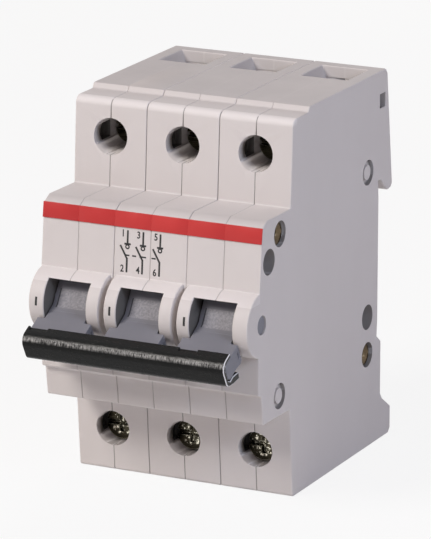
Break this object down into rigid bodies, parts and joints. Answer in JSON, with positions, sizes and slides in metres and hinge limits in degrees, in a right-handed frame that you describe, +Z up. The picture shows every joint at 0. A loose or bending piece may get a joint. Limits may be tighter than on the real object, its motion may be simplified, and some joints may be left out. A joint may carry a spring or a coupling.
{
  "type": "modular switch disconnector",
  "caption": "Modular rail-mounted switch disconnector with a tied handle, double-break contacts, lift clamps behind wire windows, and sprung rail clips.",
  "frame": {"origin": "on the rail seat plane, at the mounting rail's centre line and the middle of the width", "axes": "+X across the poles, +Y into the mounting rail, +Z up"},
  "size_m": [0.0524, 0.0823, 0.086],
  "materials": {
    "housing": "fine moulded texture",
    "handle": "satin moulded",
    "tie_bar": "polished with fine scuffs",
    "front_strip": "smooth",
    "steel": "bright",
    "spring_steel": "drawn wire",
    "carrier": "moulded",
    "copper": "bright copper with silvered pads",
    "arc_plates": "dull steel between fibre cards",
    "clamp_steel": "zinc plated",
    "screw": "yellow passivated",
    "rail_clip": "moulded",
    "rivet": "bright rolled"
  },
  "bodies": {
    "housing": {"pole_1_left_shell": "housing", "pole_2_left_shell": "housing", "pole_3_left_shell": "housing", "pole_1_right_shell": "housing", "pole_2_right_shell": "housing", "pole_3_right_shell": "housing", "housing_rivets": "rivet", "front_strip": "front_strip", "upper_contact_1": "copper", "upper_contact_2": "copper", "upper_contact_3": "copper", "lower_contact_1": "copper", "lower_contact_2": "copper", "lower_contact_3": "copper", "arc_chute_1": "arc_plates", "arc_chute_2": "arc_plates", "arc_chute_3": "arc_plates", "clip_spring_1": "spring_steel", "clip_spring_2": "spring_steel", "clip_spring_3": "spring_steel"},
    "handle": {"toggle_1": "handle", "toggle_2": "handle", "toggle_3": "handle", "tie_bar": "tie_bar", "crank_pins": "steel"},
    "contact_carriage_1": {"yoke_1": "steel", "contact_carrier_1": "carrier", "contact_bridge_1": "copper", "contact_spring_1": "spring_steel"},
    "contact_carriage_2": {"yoke_2": "steel", "contact_carrier_2": "carrier", "contact_bridge_2": "copper", "contact_spring_2": "spring_steel"},
    "contact_carriage_3": {"yoke_3": "steel", "contact_carrier_3": "carrier", "contact_bridge_3": "copper", "contact_spring_3": "spring_steel"},
    "upper_screw_1": {"upper_screw_1": "screw"},
    "upper_clamp_1": {"upper_clamp_1": "clamp_steel"},
    "upper_screw_2": {"upper_screw_2": "screw"},
    "upper_clamp_2": {"upper_clamp_2": "clamp_steel"},
    "upper_screw_3": {"upper_screw_3": "screw"},
    "upper_clamp_3": {"upper_clamp_3": "clamp_steel"},
    "lower_screw_1": {"lower_screw_1": "screw"},
    "lower_clamp_1": {"lower_clamp_1": "clamp_steel"},
    "lower_screw_2": {"lower_screw_2": "screw"},
    "lower_clamp_2": {"lower_clamp_2": "clamp_steel"},
    "lower_screw_3": {"lower_screw_3": "screw"},
    "lower_clamp_3": {"lower_clamp_3": "clamp_steel"},
    "rail_clip_1": {"rail_clip_1": "rail_clip"},
    "rail_clip_2": {"rail_clip_2": "rail_clip"},
    "rail_clip_3": {"rail_clip_3": "rail_clip"}
  },
  "joints": [
    {"name": "handle_tilt", "type": "hinge", "parent": "housing", "child": "handle", "pos_m": [0, -0.0605, -0.0002], "axis": [-1, 0, 0], "range_deg": [0, 55]},
    {"name": "carriage_1_slide", "type": "slide", "parent": "housing", "child": "contact_carriage_1", "axis": [0, -1, 0], "range_m": [0, 0.00369]},
    {"name": "carriage_2_slide", "type": "slide", "parent": "housing", "child": "contact_carriage_2", "axis": [0, -1, 0], "range_m": [0, 0.00369]},
    {"name": "carriage_3_slide", "type": "slide", "parent": "housing", "child": "contact_carriage_3", "axis": [0, -1, 0], "range_m": [0, 0.00369]},
    {"name": "upper_screw_1_turn", "type": "hinge", "parent": "housing", "child": "upper_screw_1", "pos_m": [-0.0175, -0.0334, 0.033], "axis": [0, 1, 0], "range_deg": [0, 3600]},
    {"name": "upper_clamp_1_lift", "type": "slide", "parent": "housing", "child": "upper_clamp_1", "axis": [0, -1, 0], "range_m": [0, 0.008]},
    {"name": "upper_screw_2_turn", "type": "hinge", "parent": "housing", "child": "upper_screw_2", "pos_m": [0, -0.0334, 0.033], "axis": [0, 1, 0], "range_deg": [0, 3600]},
    {"name": "upper_clamp_2_lift", "type": "slide", "parent": "housing", "child": "upper_clamp_2", "axis": [0, -1, 0], "range_m": [0, 0.008]},
    {"name": "upper_screw_3_turn", "type": "hinge", "parent": "housing", "child": "upper_screw_3", "pos_m": [0.0175, -0.0334, 0.033], "axis": [0, 1, 0], "range_deg": [0, 3600]},
    {"name": "upper_clamp_3_lift", "type": "slide", "parent": "housing", "child": "upper_clamp_3", "axis": [0, -1, 0], "range_m": [0, 0.008]},
    {"name": "lower_screw_1_turn", "type": "hinge", "parent": "housing", "child": "lower_screw_1", "pos_m": [-0.0175, -0.0384, -0.0336], "axis": [0, 1, 0], "range_deg": [0, 3600]},
    {"name": "lower_clamp_1_lift", "type": "slide", "parent": "housing", "child": "lower_clamp_1", "axis": [0, -1, 0], "range_m": [0, 0.008]},
    {"name": "lower_screw_2_turn", "type": "hinge", "parent": "housing", "child": "lower_screw_2", "pos_m": [0, -0.0384, -0.0336], "axis": [0, 1, 0], "range_deg": [0, 3600]},
    {"name": "lower_clamp_2_lift", "type": "slide", "parent": "housing", "child": "lower_clamp_2", "axis": [0, -1, 0], "range_m": [0, 0.008]},
    {"name": "lower_screw_3_turn", "type": "hinge", "parent": "housing", "child": "lower_screw_3", "pos_m": [0.0175, -0.0384, -0.0336], "axis": [0, 1, 0], "range_deg": [0, 3600]},
    {"name": "lower_clamp_3_lift", "type": "slide", "parent": "housing", "child": "lower_clamp_3", "axis": [0, -1, 0], "range_m": [0, 0.008]},
    {"name": "rail_clip_1_slide", "type": "slide", "parent": "housing", "child": "rail_clip_1", "axis": [0, 0, -1], "range_m": [0, 0.0035], "stiffness_N_per_m": 800, "springref_m": -0.002, "deforming": ["clip_spring_1"]},
    {"name": "rail_clip_2_slide", "type": "slide", "parent": "housing", "child": "rail_clip_2", "axis": [0, 0, -1], "range_m": [0, 0.0035], "stiffness_N_per_m": 800, "springref_m": -0.002, "deforming": ["clip_spring_2"]},
    {"name": "rail_clip_3_slide", "type": "slide", "parent": "housing", "child": "rail_clip_3", "axis": [0, 0, -1], "range_m": [0, 0.0035], "stiffness_N_per_m": 800, "springref_m": -0.002, "deforming": ["clip_spring_3"]}
  ],
  "couplings": [
    {"joint": "handle_tilt", "follows": "carriage_1_slide", "rad_per_m": 259.86},
    {"joint": "carriage_2_slide", "follows": "carriage_1_slide", "ratio": 1},
    {"joint": "carriage_3_slide", "follows": "carriage_1_slide", "ratio": 1},
    {"joint": "upper_screw_1_turn", "follows": "upper_clamp_1_lift", "rad_per_m": 7854},
    {"joint": "upper_screw_2_turn", "follows": "upper_clamp_2_lift", "rad_per_m": 7854},
    {"joint": "upper_screw_3_turn", "follows": "upper_clamp_3_lift", "rad_per_m": 7854},
    {"joint": "lower_screw_1_turn", "follows": "lower_clamp_1_lift", "rad_per_m": 7854},
    {"joint": "lower_screw_2_turn", "follows": "lower_clamp_2_lift", "rad_per_m": 7854},
    {"joint": "lower_screw_3_turn", "follows": "lower_clamp_3_lift", "rad_per_m": 7854}
  ]
}
